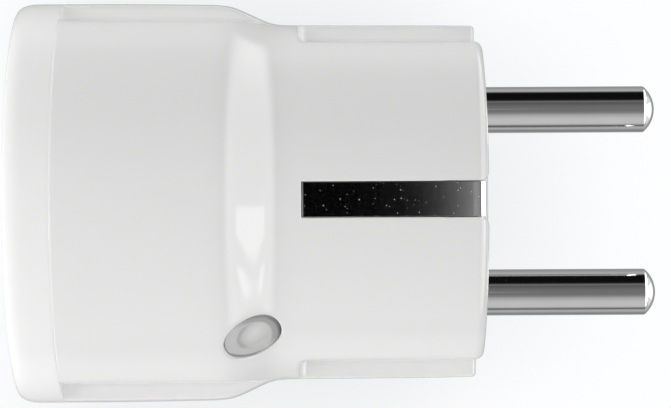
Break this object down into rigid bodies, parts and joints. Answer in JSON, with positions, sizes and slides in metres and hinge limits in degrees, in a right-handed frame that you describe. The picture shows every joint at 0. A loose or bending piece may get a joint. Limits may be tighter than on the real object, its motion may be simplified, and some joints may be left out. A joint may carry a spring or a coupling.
{
  "type": "plug-in power meter",
  "caption": "Round plug-through adapter with a recessed earthed socket at one end, round plug pins at the other, a side push button, and metering and switching parts inside.",
  "frame": {"origin": "centre of the plug's end face, the plane that meets the wall socket", "axes": "+X out along the plug pins, +Z from the lower pin to the upper pin, -Y to the side with the push button"},
  "size_m": [0.0658, 0.0414, 0.0414],
  "materials": {
    "shell": "moulded white flame-retardant plastic, fine satin",
    "insert": "moulded white plastic, matt",
    "nickel": "nickel-plated brass, bright",
    "spring_steel": "plain steel",
    "brass": "stamped sheet brass",
    "frosted": "frosted translucent plastic",
    "board": "glass-epoxy board with solder mask",
    "black_plastic": "moulded black plastic",
    "blue_resin": "dipped resin coat",
    "sleeve": "shrink sleeve over an aluminium can",
    "ferrite": "ferrite core under shrink sleeve",
    "shunt_alloy": "manganese-copper strip",
    "lamp": "lamp package with a clear lens"
  },
  "bodies": {
    "housing": {"rear_housing": "shell", "front_ring": "shell", "socket_insert": "insert", "shutter_spring": "spring_steel", "contact_carrier": "insert", "live_socket_contact": "brass", "neutral_socket_contact": "brass", "earth_clip_front": "nickel", "earth_clip_back": "nickel", "earth_strap": "brass", "plug_earth_strip_front": "nickel", "plug_earth_strip_back": "nickel", "live_pin": "nickel", "neutral_pin": "nickel", "pin_carrier": "black_plastic", "main_board": "board", "relay": "black_plastic", "electrolytic_capacitor": "sleeve", "varistor": "blue_resin", "inductor": "ferrite", "shunt_resistor": "shunt_alloy", "fuse_resistor": "blue_resin", "metering_chip": "black_plastic", "regulator_chip": "black_plastic", "bridge_rectifier": "black_plastic", "radio_board": "board", "radio_shield_can": "spring_steel", "board_header": "black_plastic", "tact_switch_body": "black_plastic", "indicator_led": "lamp", "cover_screw": "spring_steel"},
    "button": {"button_cap": "frosted"},
    "plunger": {"tact_switch_plunger": "black_plastic"},
    "shutter": {"shutter": "insert"}
  },
  "joints": [
    {"name": "button_press", "type": "slide", "parent": "housing", "child": "button", "axis": [0, 0.7071, 0.7071], "range_m": [0, 0.0003]},
    {"name": "plunger_press", "type": "slide", "parent": "housing", "child": "plunger", "axis": [0, 0.7071, 0.7071], "range_m": [0, 0.0003]},
    {"name": "shutter_turn", "type": "hinge", "parent": "housing", "child": "shutter", "pos_m": [-0.0273, 0, 0], "axis": [1, 0, 0], "range_deg": [0, 40]}
  ],
  "couplings": [
    {"joint": "plunger_press", "follows": "button_press", "ratio": 1}
  ]
}
